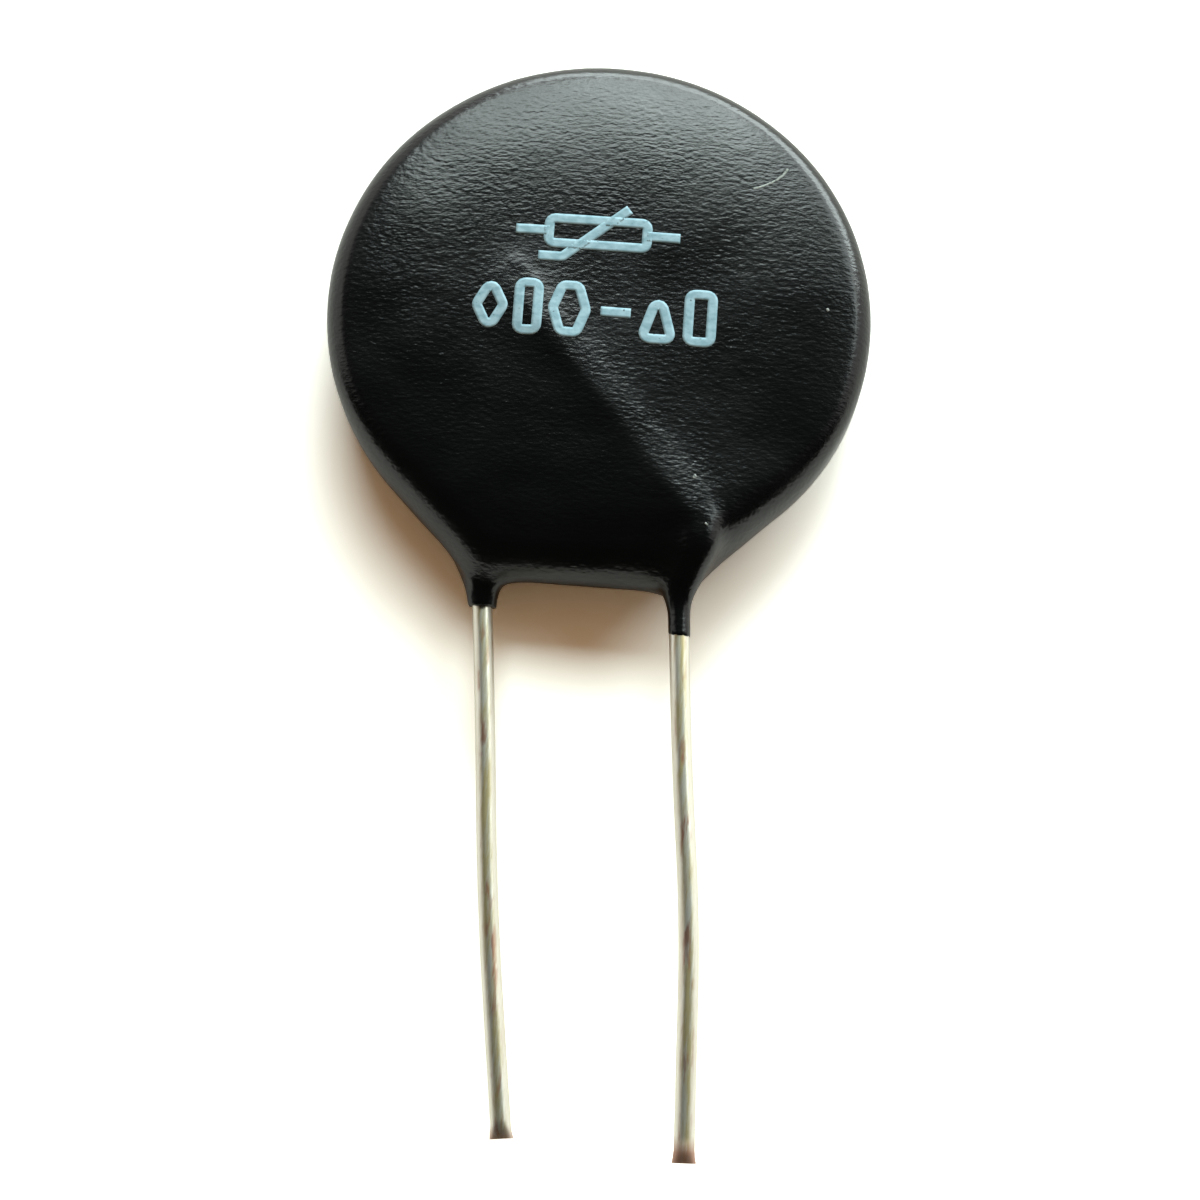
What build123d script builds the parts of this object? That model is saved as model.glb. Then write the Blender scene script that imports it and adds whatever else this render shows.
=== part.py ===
"""Disc thermistor with two wire leads, lying on its back.

A round ceramic disc carries a fired silver electrode on each face. A tinned copper wire is
soldered aslant across each electrode, and both wires leave at the same side of the disc, one
lead pitch apart. The whole head is dipped in resin, which drapes over the wires as a long
ridge on each face and runs down each wire as a foot.

Frame: +Z up out of the front face, leads towards -Y, origin under the middle of the part at
the level that it lies on. Millimetres.
"""

import os
from math import atan2, cos, degrees, radians, sin, sqrt, tan

from build123d import *

os.makedirs("parts", exist_ok=True)

# ---------------------------------------------------------------------------
# Driving dimensions
# ---------------------------------------------------------------------------

# Ceramic disc and its electrodes
disc_diameter = 25.0
disc_thickness = 3.6
disc_edge_break = 0.25
electrode_diameter = 24.2
electrode_thickness = 0.03

# Leads
wire_diameter = 1.0
lead_exit_height = 1.0  # of the wire's axis from the middle of the disc, outside the coat
tip_pinch_length = 0.45  # the cutter squeezes the last bit of the wire flat
tip_pinch_height = 0.55

# Coating
coat_width = 27.4
coat_height = 26.6  # twice the top's height over the disc's centre
coat_side_radius = 13.1  # a wide shoulder on each side, with a flatter arc across the top
coat_thickness = 5.0  # over the flat faces
coat_over_wire = 0.35
rim_round = 2.2
skirt_reach = 13.75  # from the disc's centre to the edge between the feet
skirt_corner_round = 2.6
flank_angle = 46  # where the straight flanks leave the round outline, below the horizontal
ridge_lead_in = 2.4  # how far past the wire's end the coat starts to rise
ridge_toe = 0.15  # how far the ridge's edges lie under the face that it rises from
ridge_root = 1.0  # its rounded underside, below the wire's axis
sleeve_radius = 0.83  # where the coat hugs the wire, round its bend and down to the foot

# Solder
solder_width = 2.6
solder_height = 0.62
solder_length = 10.0
solder_slope = 40  # of its sides, from the vertical

# Places, from the disc's centre, x towards the lead's own foot and y up from the leads
wire_end = (-4.2, 1.9)  # under the coat, across the disc from the foot
wire_bend = (6.1, -10.0)
disc_edge_crossing = (5.85, -11.6)
foot_root = (4.9, -13.9)
inner_bend_radii = (2.2, 1.8, 2.0)

# Where each lead's free part goes: straight out of the foot, two slight bends, a straight end
front_lead_route = ((5.07, -16.1), (6.07, -26.5), (6.62, -33.7))
front_lead_reach = 41.4  # of the cut tip, from the disc's centre along Y
back_lead_route = ((4.79, -14.9), (3.85, -24.5), (2.76, -34.2))
back_lead_reach = 40.8

# The ridge over a wire: distance from its start, half width, height over the face
ridge_stations = (
    (0.0, 1.3, -0.10),
    (2.2, 2.1, 0.36),
    (5.2, 2.4, 0.64),
    (9.0, 2.3, 0.66),
    (12.8, 2.0, 0.66),
)
sleeve_stations = (17.0, 19.5, 22.0)  # distances from the same start

# The feet: place along Y, middle across, half width, half thickness, down to the open end
front_foot_stations = (
    (-12.6, 4.75, 1.5, 1.2),
    (-13.75, 4.62, 1.15, 1.0),
    (-14.9, 4.93, 0.62, 0.62),
    (-16.1, 5.07, 0.56, 0.56),
)
back_foot_stations = (
    (-12.6, 4.75, 1.5, 1.2),
    (-13.75, 4.65, 1.2, 1.0),
    (-14.9, 4.87, 0.72, 0.72),
)

# ---------------------------------------------------------------------------
# Worked out from the above
# ---------------------------------------------------------------------------

wire_radius = wire_diameter / 2
wire_height = disc_thickness / 2 + electrode_thickness + wire_radius
ridge_height = wire_height + wire_radius + coat_over_wire
face_over_wire = coat_thickness / 2 - wire_height
disc_y = (front_lead_reach - coat_height / 2) / 2

# Both faces are drawn alike: the back is the front turned half way round about Y
middle = (0, disc_y, ridge_height)
front = Plane(origin=middle, x_dir=(1, 0, 0), z_dir=(0, 0, 1))
back = Plane(origin=middle, x_dir=(-1, 0, 0), z_dir=(0, 0, -1))


# ---------------------------------------------------------------------------
# Ceramic disc
# ---------------------------------------------------------------------------

with BuildPart() as ceramic_disc:
    with BuildSketch(front):
        Circle(disc_diameter / 2)
    extrude(amount=disc_thickness / 2, both=True)
    chamfer(ceramic_disc.edges().filter_by(GeomType.CIRCLE), length=disc_edge_break)

ceramic_disc.part.label = "ceramic_disc"
export_step(ceramic_disc.part, "parts/ceramic_disc.step")


# ---------------------------------------------------------------------------
# Electrodes: a thin round film on each face, short of the disc's edge
# ---------------------------------------------------------------------------


def electrode_film(face_plane):
    """A film of fired silver on the disc's face towards face_plane's +Z."""
    with BuildPart() as film:
        with BuildSketch(face_plane.offset(disc_thickness / 2)):
            Circle(electrode_diameter / 2)
        extrude(amount=electrode_thickness)
    return film.part


front_electrode = electrode_film(front)
front_electrode.label = "front_electrode"
export_step(front_electrode, "parts/front_electrode.step")

back_electrode = electrode_film(back)
back_electrode.label = "back_electrode"
export_step(back_electrode, "parts/back_electrode.step")


# ---------------------------------------------------------------------------
# Leads: round wire over the disc, down past its edge, out of the foot, cut at the tip
# ---------------------------------------------------------------------------


def lead_wire(face_plane, route, reach):
    """The wire on the face towards face_plane's +Z, with its free part along route."""
    over_disc = [(*place, wire_height) for place in (wire_end, wire_bend, disc_edge_crossing)]
    outside = [(*place, lead_exit_height) for place in (foot_root, *route)]
    inner_points = [face_plane.from_local_coords(point) for point in over_disc]
    root, foot_end, first_bend_end, second_bend_end = (
        face_plane.from_local_coords(point) for point in outside
    )

    with BuildPart() as wire:
        with BuildLine() as path:
            FilletPolyline(*inner_points, root, foot_end, radius=inner_bend_radii)
            first_bend = TangentArc(foot_end, first_bend_end, tangent=foot_end - root)
            second_bend = TangentArc(first_bend_end, second_bend_end, tangent=first_bend % 1)
            along = second_bend % 1
            straight_length = (reach - abs(route[-1][1])) / abs(along.Y)
            Line(second_bend_end, second_bend_end + along * (straight_length - tip_pinch_length))
        with BuildSketch(Plane(path.line ^ 0)):
            Circle(wire_radius)
        sweep(path=path.line)
        cut = Plane(origin=path.line @ 1, x_dir=along.cross(Vector(0, 0, 1)), z_dir=along)
        with BuildSketch(cut):
            Circle(wire_radius)
        with BuildSketch(cut.offset(tip_pinch_length)):
            Ellipse(wire_radius, tip_pinch_height / 2)
        loft()
    return wire.part


front_lead = lead_wire(front, front_lead_route, front_lead_reach)
front_lead.label = "front_lead"
export_step(front_lead, "parts/front_lead.step")

back_lead = lead_wire(back, back_lead_route, back_lead_reach)
back_lead.label = "back_lead"
export_step(back_lead, "parts/back_lead.step")


# ---------------------------------------------------------------------------
# Solder: a long mound on the electrode that the wire lies in
# ---------------------------------------------------------------------------


def solder_mound(face_plane, wire):
    """The mound on the face towards face_plane's +Z, with the bed of the wire cut in."""
    run_x = wire_bend[0] - wire_end[0]
    run_y = wire_bend[1] - wire_end[1]
    run_length = sqrt(run_x**2 + run_y**2)
    share = (solder_length / 2 - solder_width / 2) / run_length
    mound_middle = (wire_end[0] + share * run_x, wire_end[1] + share * run_y)
    with BuildPart() as mound:
        with BuildSketch(face_plane.offset(disc_thickness / 2 + electrode_thickness)):
            with Locations(mound_middle):
                SlotOverall(solder_length, solder_width, rotation=degrees(atan2(run_y, run_x)))
        extrude(amount=solder_height, taper=solder_slope)
        add(wire, mode=Mode.SUBTRACT)
    return mound.part


front_solder = solder_mound(front, front_lead)
front_solder.label = "front_solder"
export_step(front_solder, "parts/front_solder.step")

back_solder = solder_mound(back, back_lead)
back_solder.label = "back_solder"
export_step(back_solder, "parts/back_solder.step")


# ---------------------------------------------------------------------------
# Coating: a rounded plate over the disc, draped over each wire and drawn out into two feet
# ---------------------------------------------------------------------------


def wire_ridge(face_plane):
    """The ridge that the coat makes over a wire: bell-shaped on the face, then a sleeve to the foot."""
    wire_start = Vector(*wire_end, wire_height)
    along = (Vector(*wire_bend, wire_height) - wire_start).normalized()
    course_points = (
        wire_start - along * ridge_lead_in,
        Vector(*wire_bend, wire_height),
        Vector(*disc_edge_crossing, wire_height),
        Vector(*foot_root, lead_exit_height),
    )
    toe = face_over_wire - ridge_toe
    sections = [
        (distance, half_width, toe, face_over_wire + rise, ridge_root, (1, 0.12))
        for distance, half_width, rise in ridge_stations
    ] + [
        (distance, sleeve_radius, 0, sleeve_radius, sleeve_radius, (0, 1))
        for distance in sleeve_stations
    ]
    with BuildPart() as ridge:
        with BuildLine() as line:
            FilletPolyline(
                *(face_plane.from_local_coords(point) for point in course_points),
                radius=inner_bend_radii[:2],
            )
        course = line.wires()[0]
        for distance, half_width, edge_height, crest, root, rising in sections:
            origin = course.position_at(distance, position_mode=PositionMode.LENGTH)
            heading = course.tangent_at(distance, position_mode=PositionMode.LENGTH)
            across = face_plane.z_dir.cross(heading)
            with BuildSketch(Plane(origin=origin, x_dir=across, z_dir=heading)):
                with BuildLine():
                    Spline(
                        (-half_width, edge_height),
                        (0, crest),
                        (half_width, edge_height),
                        tangents=(rising, (1, 0), (rising[0], -rising[1])),
                    )
                    ThreePointArc((half_width, edge_height), (0, -root), (-half_width, edge_height))
                make_face()
        sweep(path=course, multisection=True)
    return ridge.part


def foot(face_plane, stations):
    """The drawn-out end of the coat round one lead, from inside the skirt to its open end."""
    with BuildPart() as neck:
        for along_y, middle_x, half_width, half_thickness in stations:
            origin = face_plane.from_local_coords((middle_x, along_y, lead_exit_height))
            with BuildSketch(Plane(origin=origin, x_dir=face_plane.x_dir, z_dir=(0, -1, 0))):
                Ellipse(half_width, half_thickness)
        loft()
    return neck.part


flank = radians(flank_angle)
side_middle_x = coat_width / 2 - coat_side_radius
side_drop = coat_height / 2 - coat_side_radius
coat_top_radius = coat_side_radius + (side_middle_x**2 + side_drop**2) / (2 * side_drop)
top_sweep = 2 * degrees(atan2(side_middle_x, coat_top_radius - coat_height / 2))
side_sweep = flank_angle + 90 - top_sweep / 2
flank_x = side_middle_x + coat_side_radius * cos(flank)
flank_y = coat_side_radius * sin(flank)
skirt_x = flank_x - (skirt_reach - flank_y) * tan(flank)

with BuildPart() as coating:
    with BuildSketch(front) as outline:
        with BuildLine():
            right_side = JernArc(
                (flank_x, -flank_y), (sin(flank), cos(flank)), coat_side_radius, side_sweep
            )
            top_side = JernArc(right_side @ 1, right_side % 1, coat_top_radius, top_sweep)
            left_side = JernArc(top_side @ 1, top_side % 1, coat_side_radius, side_sweep)
            Polyline(
                left_side @ 1,
                (-skirt_x, -skirt_reach),
                (skirt_x, -skirt_reach),
                right_side @ 0,
            )
        make_face()
        fillet(outline.vertices().group_by(Axis.Y)[0], radius=skirt_corner_round)
    extrude(amount=coat_thickness / 2, both=True)
    fillet(coating.faces().filter_by(Axis.Z).edges(), radius=rim_round)
    for face_plane, stations in ((front, front_foot_stations), (back, back_foot_stations)):
        add(foot(face_plane, stations))
        add(wire_ridge(face_plane))
    for inner_piece in (
        ceramic_disc.part,
        front_electrode,
        back_electrode,
        front_solder,
        back_solder,
        front_lead,
        back_lead,
    ):
        add(inner_piece, mode=Mode.SUBTRACT)

coating.part.label = "coating"
export_step(coating.part, "parts/coating.step")
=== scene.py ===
"""Looks of a disc thermistor: the dipped resin coat, the tinned leads, the pad-printed marks.

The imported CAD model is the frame. The coat and both leads are made again here with soft
transitions and stand for their CAD nodes. The pieces sealed in the coat keep their CAD form
and get their own finishes. Sizes are in millimetres, and places are seen from the disc's middle.
"""

import logging
import math
from dataclasses import dataclass
from enum import Enum
from typing import Any, Sequence

import bpy
from mathutils import Matrix, Vector


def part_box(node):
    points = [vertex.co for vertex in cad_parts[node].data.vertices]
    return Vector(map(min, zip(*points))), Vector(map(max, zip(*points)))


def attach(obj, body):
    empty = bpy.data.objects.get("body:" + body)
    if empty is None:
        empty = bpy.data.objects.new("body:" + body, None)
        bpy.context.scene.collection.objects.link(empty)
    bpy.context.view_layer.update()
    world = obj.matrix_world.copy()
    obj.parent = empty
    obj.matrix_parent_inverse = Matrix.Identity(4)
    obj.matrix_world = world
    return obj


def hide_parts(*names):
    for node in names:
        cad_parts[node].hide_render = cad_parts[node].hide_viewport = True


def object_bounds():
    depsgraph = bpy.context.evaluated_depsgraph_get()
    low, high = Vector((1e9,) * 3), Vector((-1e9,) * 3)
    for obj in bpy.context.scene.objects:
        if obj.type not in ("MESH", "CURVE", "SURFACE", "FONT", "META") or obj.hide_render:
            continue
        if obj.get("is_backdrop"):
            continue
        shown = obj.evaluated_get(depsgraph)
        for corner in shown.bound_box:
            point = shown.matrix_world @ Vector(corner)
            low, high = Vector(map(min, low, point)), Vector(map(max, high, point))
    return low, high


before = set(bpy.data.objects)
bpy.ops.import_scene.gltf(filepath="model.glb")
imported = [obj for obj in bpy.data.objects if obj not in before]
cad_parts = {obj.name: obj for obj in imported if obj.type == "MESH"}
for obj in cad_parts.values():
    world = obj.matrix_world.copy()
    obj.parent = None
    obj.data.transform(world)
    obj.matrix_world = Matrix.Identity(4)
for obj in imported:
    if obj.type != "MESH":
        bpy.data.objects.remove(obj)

logging.basicConfig(level=logging.INFO, format="%(name)s: %(message)s")
log = logging.getLogger("thermistor")

MM = 0.001
BODY = "root"
EASED = {"interpolation_type": "SMOOTHSTEP"}
WIRE_INPUTS = ("Front Wire", "Back Wire")
SOCKET_KINDS = {"Int": int, "Float": float, "Vector": tuple, "Object": bpy.types.Object}
NODE_PREFIXES = {"GEOMETRY": ("GeometryNode", "ShaderNode", "Node"), "SHADER": ("ShaderNode",)}

Point = tuple[float, float, float]
Place = Span = Pair = tuple[float, float]


# --- Shared helpers ---


def linear(hex_colour: str) -> tuple[float, float, float, float]:
    """Turns an sRGB hex colour into the linear colour that a shader socket holds.

    Args:
        hex_colour: Six hex digits.

    Returns:
        Red, green, blue and a full alpha.
    """
    channels = [int(hex_colour[i : i + 2], 16) / 255 for i in (0, 2, 4)]
    red, green, blue = (
        c / 12.92 if c <= 0.04045 else ((c + 0.055) / 1.055) ** 2.4 for c in channels
    )
    return (red, green, blue, 1.0)


def feed(node: bpy.types.Node, inputs: dict[int | str, Any]) -> None:
    """Gives a node's inputs their values and links.

    Args:
        node: The node.
        inputs: For each input, by name or number, a value, another node (its first output) or
            one of another node's outputs.
    """
    for key, value in inputs.items():
        if isinstance(value, bpy.types.Node):
            value = next(output for output in value.outputs if output.enabled)
        if isinstance(value, bpy.types.NodeSocket):
            node.id_data.links.new(value, node.inputs[key])
        else:
            node.inputs[key].default_value = value


def add(tree: Any, kind: str, *inputs: Any, **named: Any) -> Any:
    """Adds a node with its settings, its values and its links.

    Args:
        tree: The tree that the node goes into.
        kind: The node's type name without its prefix, and its operation where it has one.
        *inputs: What its first inputs are fed, in order.
        **named: What its other inputs are fed, by name with underscores for spaces, and the
            node's own settings, whose names begin with a small letter.

    Returns:
        The new node.
    """
    kind, *operation = kind.split()
    names = [prefix + kind for prefix in NODE_PREFIXES[tree.type]]
    node = tree.nodes.new(next(name for name in names if hasattr(bpy.types, name)))
    if operation:
        node.operation = operation[0]
    for name, value in named.items():
        if name[0].islower():
            setattr(node, name, value)
    feed(node, dict(enumerate(inputs)))
    feed(node, {n.replace("_", " "): value for n, value in named.items() if n[0].isupper()})
    return node


def put(name: str, data: Any) -> bpy.types.Object:
    """Makes an object and puts it in the scene.

    Args:
        name: The object's name.
        data: Its mesh, curve, lamp or camera.

    Returns:
        The object.
    """
    made = bpy.data.objects.new(name, data)
    bpy.context.scene.collection.objects.link(made)
    return made


def grain(tree: Any, cell: Point, detail: float = 2.0, roughness: float = 0.5) -> Any:
    """A noise pattern on Object coordinates whose cells have a real size.

    Args:
        tree: The material's tree.
        cell: The size of a cell along X, Y and Z.
        detail: How many finer layers the noise has.
        roughness: How strong the finer layers are.

    Returns:
        The noise node.
    """
    where = add(tree, "TexCoord").outputs["Object"]
    scaled = add(tree, "Mapping", where, Scale=tuple(1 / (c * MM) for c in cell))
    return add(tree, "TexNoise", scaled, Scale=1.0, Detail=detail, Roughness=roughness)


def disc_middle() -> Vector:
    """The middle of the ceramic disc in the row frame, in metres."""
    low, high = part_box("ceramic_disc")
    return (low + high) / 2


class Form:
    """A Geometry Nodes tree with named inputs for its sizes, run once to make one piece."""

    def __init__(self, name: str, **sizes: Any) -> None:
        """Starts the tree.

        Args:
            name: The piece's name.
            **sizes: The value of each of the tree's inputs, with underscores for spaces.
        """
        self.name = name
        self.sizes = {key.replace("_", " "): value for key, value in sizes.items()}
        self.sizes["Middle"] = tuple(disc_middle())
        self.tree = bpy.data.node_groups.new(f"{name}_form", "GeometryNodeTree")
        sockets = self.tree.interface
        for way in ("INPUT", "OUTPUT"):
            sockets.new_socket("Geometry", in_out=way, socket_type="NodeSocketGeometry")
        for label, value in self.sizes.items():
            kind = next(kind for kind, held in SOCKET_KINDS.items() if isinstance(value, held))
            sockets.new_socket(label, in_out="INPUT", socket_type=f"NodeSocket{kind}")
        self.given = add(self.tree, "GroupInput").outputs
        self.where = add(self.tree, "InputPosition")
        self.way = add(self.tree, "SeparateXYZ", self.where).outputs

    def placed(self, geometry: Any) -> Any:
        """Takes geometry from millimetres round the disc's middle to its place in metres.

        Args:
            geometry: The node that holds it.

        Returns:
            The node that holds it in its place.
        """
        middle = self.given["Middle"]
        return add(self.tree, "Transform", geometry, Translation=middle, Scale=(MM, MM, MM))

    def grow(self, geometry: Any, material: Any, base: Any = None) -> bpy.types.Object:
        """Ends the tree, runs it and keeps its result as a plain mesh piece on the body.

        Args:
            geometry: The node whose geometry is the result.
            material: The finish that the result gets.
            base: Curve data that the tree starts from, if it needs any.

        Returns:
            The piece, with its place in its mesh and no modifier left.
        """
        real = add(self.tree, "RealizeInstances", geometry)
        dressed = add(self.tree, "SetMaterial", real, Material=material)
        add(self.tree, "GroupOutput", dressed)
        source = put(f"{self.name}_source", base or bpy.data.meshes.new(self.name))
        modifier = source.modifiers.new("form", "NODES")
        modifier.node_group = self.tree
        for item in self.tree.interface.items_tree:
            if item.name in self.sizes:
                modifier[item.identifier] = self.sizes[item.name]
        graph = bpy.context.evaluated_depsgraph_get()
        mesh = bpy.data.meshes.new_from_object(source.evaluated_get(graph), depsgraph=graph)
        bpy.data.objects.remove(source)
        mesh.name = self.name
        piece = put(self.name, mesh)
        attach(piece, BODY)
        log.info("%s: %d faces", self.name, len(mesh.polygons))
        return piece


# --- Finishes ---


@dataclass(frozen=True)
class Finish:
    """What every finish has: one shader with plain values, and patterns on some of its inputs."""

    name: str
    colour: str
    roughness: float
    metallic: float = 0.0
    specular: float = 0.5

    def material(self) -> bpy.types.Material:
        """Makes the finish.

        Returns:
            The material.
        """
        material = bpy.data.materials.new(self.name)
        material.use_nodes = True
        material.diffuse_color = linear(self.colour)
        plain = {
            "Base Color": linear(self.colour),
            "Roughness": self.roughness,
            "Metallic": self.metallic,
            "Specular IOR Level": self.specular,
        }
        shader = material.node_tree.nodes["Principled BSDF"]
        feed(shader, plain)
        feed(shader, self.patterns(material.node_tree))
        return material

    def patterns(self, tree: Any) -> dict[str, Any]:
        """The node for each patterned input of the shader, by the input's name."""
        raise NotImplementedError


@dataclass(frozen=True)
class DippedResin(Finish):
    """Black silicone resin, dipped and baked: a deep black with a satin skin and fine creases."""

    name: str = "dipped_resin"
    colour: str = "040505"
    roughness: float = 0.22
    crease: Point = (0.36, 0.18, 0.3)
    pore: Point = (0.14, 0.14, 0.14)
    patch: Point = (4.0, 3.0, 3.0)
    relief: float = 0.011

    def patterns(self, tree: Any) -> dict[str, Any]:
        """Creases and pores in the skin, and a satin that varies.

        Args:
            tree: The material's tree.

        Returns:
            The node for each patterned input of the shader.
        """
        # Creases that lie across the leads, as a thick dip leaves them when it skins over
        tall = add(tree, "MapRange", grain(tree, self.crease), 0.3, 0.72)
        pores = grain(tree, self.pore, detail=1.0)
        both = add(tree, "Math MULTIPLY_ADD", pores, 0.22, tall)
        bump = add(tree, "Bump", Strength=0.9, Distance=self.relief * MM, Height=both)
        # The satin varies in patches, where the skin dried at another rate
        low, high = self.roughness - 0.03, self.roughness + 0.04
        satin = add(tree, "MapRange", grain(tree, self.patch), 0.3, 0.7, low, high)
        return {"Normal": bump, "Roughness": satin}


@dataclass(frozen=True)
class TinnedCopper(Finish):
    """Copper wire with a thin tin coat: bright and a little warm, dulled and tan on its top and
    underside, which is partly wear and partly painted shade.
    """

    name: str = "tinned_copper"
    colour: str = "FAF6EA"
    roughness: float = 0.35
    metallic: float = 1.0
    # The tan tone: partly real tarnish, partly painted shade on the wire's top and underside
    tarnish_and_painted_shade: str = "BEAE80"
    bare_copper: str = "B4806A"
    streak: Point = (0.28, 3.2, 0.28)
    worn_spot: Point = (0.4, 2.6, 0.4)
    cut_length: float = 1.3
    cut_solid: float = 0.5
    relief: float = 0.006

    def patterns(self, tree: Any) -> dict[str, Any]:
        """Dull streaks, worn spots, the bare cut and painted shade on the wire's top and underside.

        Args:
            tree: The material's tree.

        Returns:
            The node for each patterned input of the shader.
        """
        # The top and the underside of the wire take the tan tone and the copper spots, and its sides
        # hardly: partly wear, partly painted shade for the darker middle along the wire's top
        where = add(tree, "TexCoord").outputs
        facing = add(tree, "SeparateXYZ", where["Normal"]).outputs["Z"]
        level = add(tree, "Math ABSOLUTE", facing)
        wear_and_painted_shade = add(tree, "MapRange", level, 0.7, 0.95, 0.12, 1.0)
        # Long streaks along the wire from drawing and handling, darker where the tin has dulled; on
        # the top and underside this tan is partly painted shade
        streaks = grain(tree, self.streak, detail=4.0, roughness=0.65)
        dulled = add(tree, "MapRange", streaks, 0.38, 0.6, 0.15, 0.95)
        dull_and_painted_shade = add(tree, "Math MULTIPLY", dulled, wear_and_painted_shade)
        tin, tan, copper = (linear(c) for c in (self.colour, self.tarnish_and_painted_shade, self.bare_copper))
        toned = add(tree, "Mix", data_type="RGBA", Factor=dull_and_painted_shade, A=tin, B=tan)
        # The copper's own colour comes through in worn spots, and all over at the cut
        worn = grain(tree, self.worn_spot, detail=3.0, roughness=0.6)
        spots = add(tree, "MapRange", worn, 0.54, 0.66, 0.0, 0.85)
        through = add(tree, "Math MULTIPLY", spots, wear_and_painted_shade)
        along = add(tree, "SeparateXYZ", where["Object"]).outputs["Y"]
        low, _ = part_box("front_lead")
        start, solid = low.y + self.cut_length * MM, low.y + self.cut_solid * MM
        cut = add(tree, "MapRange", along, start, solid, 0.0, 0.8)
        bare = add(tree, "Math MAXIMUM", through, cut)
        final = add(tree, "Mix", data_type="RGBA", Factor=bare, A=toned, B=copper)
        rough = add(tree, "MapRange", streaks, 0.35, 0.7, self.roughness, self.roughness + 0.1)
        torn = add(tree, "Math MULTIPLY_ADD", cut, 0.3, rough)
        bump = add(tree, "Bump", Strength=0.4, Distance=self.relief * MM, Height=streaks)
        return {"Base Color": final, "Roughness": torn, "Normal": bump}


@dataclass(frozen=True)
class SinteredCeramic(Finish):
    """Manganese oxide ceramic, pressed and fired: a dry grey-black with a fine grain."""

    name: str = "sintered_ceramic"
    colour: str = "3A3734"
    roughness: float = 0.8
    pale: str = "4B4742"
    grain_size: Point = (0.12, 0.12, 0.12)
    relief: float = 0.01

    def patterns(self, tree: Any) -> dict[str, Any]:
        """Fine grains, some paler.

        Args:
            tree: The material's tree.

        Returns:
            The node for each patterned input of the shader.
        """
        grains = grain(tree, self.grain_size, detail=3.0)
        dark, pale = linear(self.colour), linear(self.pale)
        shade = add(tree, "Mix", data_type="RGBA", Factor=grains, A=dark, B=pale)
        bump = add(tree, "Bump", Distance=self.relief * MM, Height=grains)
        return {"Base Color": shade, "Normal": bump}


@dataclass(frozen=True)
class FiredSilver(Finish):
    """Screen-printed silver, fired on: pale and matt, with the weave of the screen just left."""

    name: str = "fired_silver"
    colour: str = "E4E2DC"
    roughness: float = 0.45
    metallic: float = 1.0
    mesh_pitch: float = 0.18
    relief: float = 0.005

    def patterns(self, tree: Any) -> dict[str, Any]:
        """The weave of the printing screen.

        Args:
            tree: The material's tree.

        Returns:
            The node for each patterned input of the shader.
        """
        where = add(tree, "TexCoord").outputs["Object"]
        # At a scale of one, a wave texture has a band every 0.314 units
        pitch = 0.314 / (self.mesh_pitch * MM)
        weave = add(tree, "TexWave", where, bands_direction="DIAGONAL", Scale=pitch)
        bump = add(tree, "Bump", Strength=0.3, Distance=self.relief * MM, Height=weave)
        return {"Normal": bump}


@dataclass(frozen=True)
class TinSolder(Finish):
    """Tin solder that set in place: grey-white, smooth, with a slight frost on its top."""

    name: str = "tin_solder"
    colour: str = "C9CACB"
    roughness: float = 0.3
    metallic: float = 1.0
    frost: Point = (0.3, 0.3, 0.3)

    def patterns(self, tree: Any) -> dict[str, Any]:
        """The frost."""
        return {"Roughness": add(tree, "MapRange", grain(tree, self.frost), 0.35, 0.65, 0.25, 0.45)}


@dataclass(frozen=True)
class PrintingInk(Finish):
    """Pad-printing ink, pale blue: thin and even, with pinholes where the resin's creases show."""

    name: str = "printing_ink"
    colour: str = "9DBCC9"
    roughness: float = 0.65
    specular: float = 0.1
    shade: str = "84A5B2"
    resin: str = "141718"
    thin_patch: Point = (0.5, 0.3, 0.5)
    pinhole: Point = (0.20, 0.13, 0.2)

    def patterns(self, tree: Any) -> dict[str, Any]:
        """Thin patches and pinholes.

        Args:
            tree: The material's tree.

        Returns:
            The node for each patterned input of the shader.
        """
        thin = add(tree, "MapRange", grain(tree, self.thin_patch), 0.38, 0.64)
        pale, deep, black = (linear(c) for c in (self.colour, self.shade, self.resin))
        tone = add(tree, "Mix", data_type="RGBA", Factor=thin, A=pale, B=deep)
        bare = add(tree, "MapRange", grain(tree, self.pinhole, roughness=0.6), 0.69, 0.74, 0.0, 0.8)
        return {"Base Color": add(tree, "Mix", data_type="RGBA", Factor=bare, A=tone, B=black)}


@dataclass(frozen=True)
class ScuffedResin(Finish):
    """Pale grey and dry on the black skin: resin dust in a scuff, and the small pale flecks."""

    name: str = "scuffed_resin"
    colour: str = "B9BFBB"
    roughness: float = 0.7
    shade: str = "3E4342"
    flake: Point = (0.09, 0.09, 0.09)

    def patterns(self, tree: Any) -> dict[str, Any]:
        """Flakes, some darker.

        Args:
            tree: The material's tree.

        Returns:
            The node for each patterned input of the shader.
        """
        flakes = add(tree, "MapRange", grain(tree, self.flake), 0.4, 0.6)
        pale, dark = linear(self.colour), linear(self.shade)
        return {"Base Color": add(tree, "Mix", data_type="RGBA", Factor=flakes, A=pale, B=dark)}


# --- Courses of the wires ---


class Face(Enum):
    """The two faces of the disc. The back is the front turned half way round about Y."""

    FRONT = 1
    BACK = -1

    def turn(self, point: Point) -> Vector:
        """A point drawn for the front, on this face."""
        return Vector((self.value * point[0], point[1], self.value * point[2]))


@dataclass
class Knot:
    """A point of a smooth course, with the handles on each side of it."""

    place: Vector
    before: Vector
    after: Vector


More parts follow.
